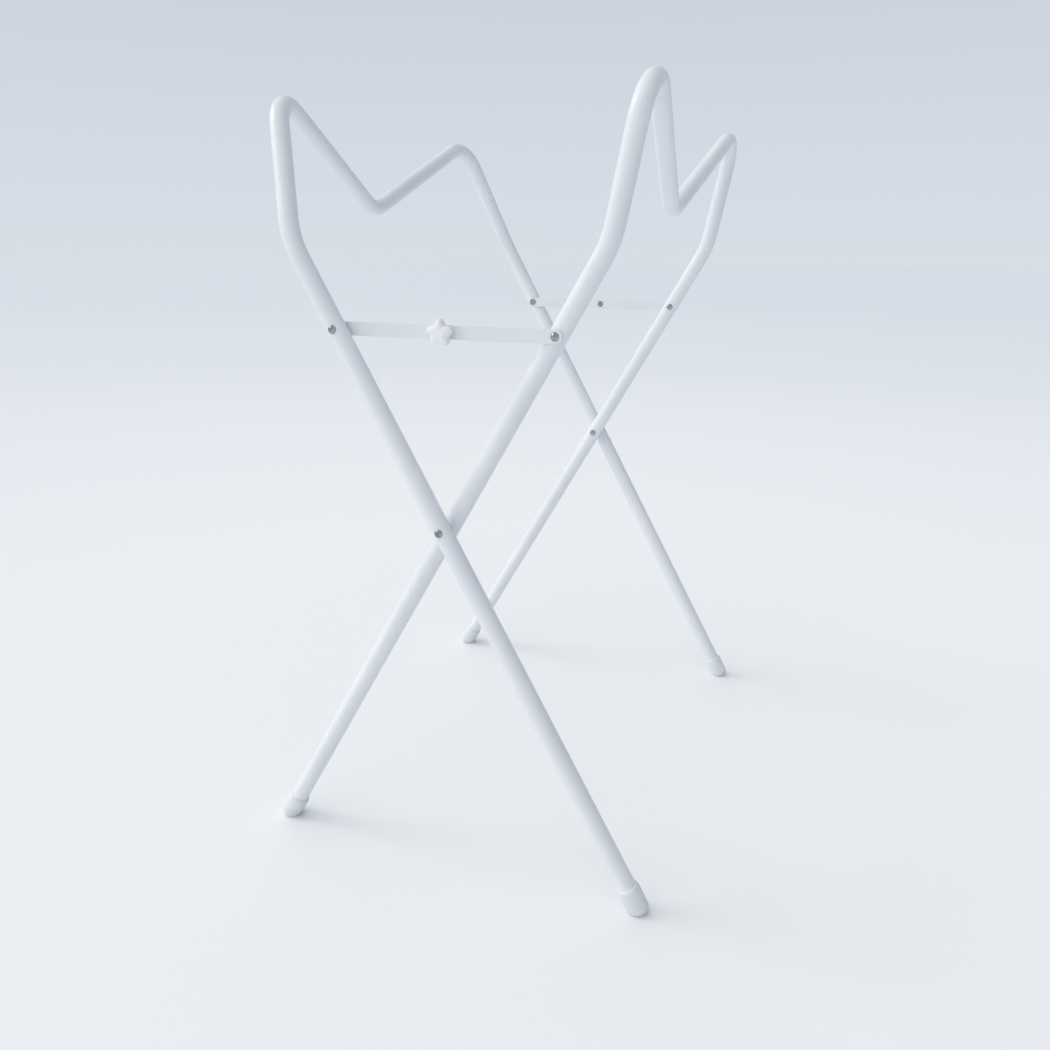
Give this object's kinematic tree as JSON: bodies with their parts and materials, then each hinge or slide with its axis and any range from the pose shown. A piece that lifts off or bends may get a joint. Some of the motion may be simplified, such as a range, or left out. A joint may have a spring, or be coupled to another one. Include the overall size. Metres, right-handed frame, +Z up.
{
  "type": "baby bath stand",
  "caption": "Folding baby bath stand: two crossed frames of white painted steel tube, nested one inside the other, with V shaped cradles, flat link braces and a clamp knob.",
  "frame": {"origin": "on the floor, in the middle of the four feet, under the pivot axis", "axes": "+Z up, +Y from front to rear along the pivot axis, +X towards the inner frame's top; the clamp knob is on the front, at -Y"},
  "size_m": [0.5242, 0.704, 0.9208],
  "materials": {
    "painted_tube": "gloss",
    "painted_link": "gloss",
    "plated_rivet": "polished",
    "zinc_steel": "satin",
    "white_plastic": "matte",
    "knob_plastic": "satin"
  },
  "bodies": {
    "outer_frame": {"outer_frame_tube": "painted_tube", "outer_front_foot_cap": "white_plastic", "outer_rear_foot_cap": "white_plastic", "front_pivot_rivet": "plated_rivet", "rear_pivot_rivet": "plated_rivet", "front_pivot_spacer": "white_plastic", "rear_pivot_spacer": "white_plastic", "front_outer_link_rivet": "plated_rivet", "rear_outer_link_rivet": "plated_rivet"},
    "inner_frame": {"inner_frame_tube": "painted_tube", "inner_front_foot_cap": "white_plastic", "inner_rear_foot_cap": "white_plastic", "front_inner_rivet_tail": "plated_rivet", "rear_inner_rivet_tail": "plated_rivet"},
    "front_outer_brace": {"front_outer_link": "painted_link", "front_joint_washer": "white_plastic", "knob_washer_plate": "zinc_steel"},
    "front_inner_brace": {"front_inner_link": "painted_link", "front_inner_link_rivet": "plated_rivet", "knob_bolt": "zinc_steel"},
    "rear_outer_brace": {"rear_outer_link": "painted_link", "rear_joint_washer": "white_plastic"},
    "rear_inner_brace": {"rear_inner_link": "painted_link", "rear_inner_link_rivet": "plated_rivet", "rear_joint_rivet": "plated_rivet"},
    "knob": {"clamp_knob": "knob_plastic", "knob_insert": "zinc_steel"}
  },
  "joints": [
    {"name": "fold", "type": "hinge", "parent": "outer_frame", "child": "inner_frame", "pos_m": [0, 0, 0.442], "axis": [0, -1, 0], "range_deg": [0, 46]},
    {"name": "front_outer_link_turn", "type": "hinge", "parent": "outer_frame", "child": "front_outer_brace", "pos_m": [-0.12371, -0.32595, 0.66155], "axis": [0, -1, 0], "range_deg": [0, 99.9]},
    {"name": "front_knee", "type": "hinge", "parent": "front_outer_brace", "child": "front_inner_brace", "pos_m": [0, -0.32595, 0.66155], "axis": [0, 1, 0], "range_deg": [0, 153.8]},
    {"name": "rear_outer_link_turn", "type": "hinge", "parent": "outer_frame", "child": "rear_outer_brace", "pos_m": [-0.12371, 0.32595, 0.66155], "axis": [0, -1, 0], "range_deg": [0, 99.9]},
    {"name": "rear_knee", "type": "hinge", "parent": "rear_outer_brace", "child": "rear_inner_brace", "pos_m": [0, 0.32595, 0.66155], "axis": [0, 1, 0], "range_deg": [0, 153.8]},
    {"name": "knob_turn", "type": "hinge", "parent": "front_inner_brace", "child": "knob", "pos_m": [0, -0.335, 0.66155], "axis": [0, -1, 0], "range_deg": [0, 360]}
  ],
  "couplings": [
    {"joint": "front_outer_link_turn", "follows": "fold", "ratio": 2.171},
    {"joint": "front_knee", "follows": "fold", "ratio": 3.342},
    {"joint": "rear_outer_link_turn", "follows": "fold", "ratio": 2.171},
    {"joint": "rear_knee", "follows": "fold", "ratio": 3.342}
  ]
}
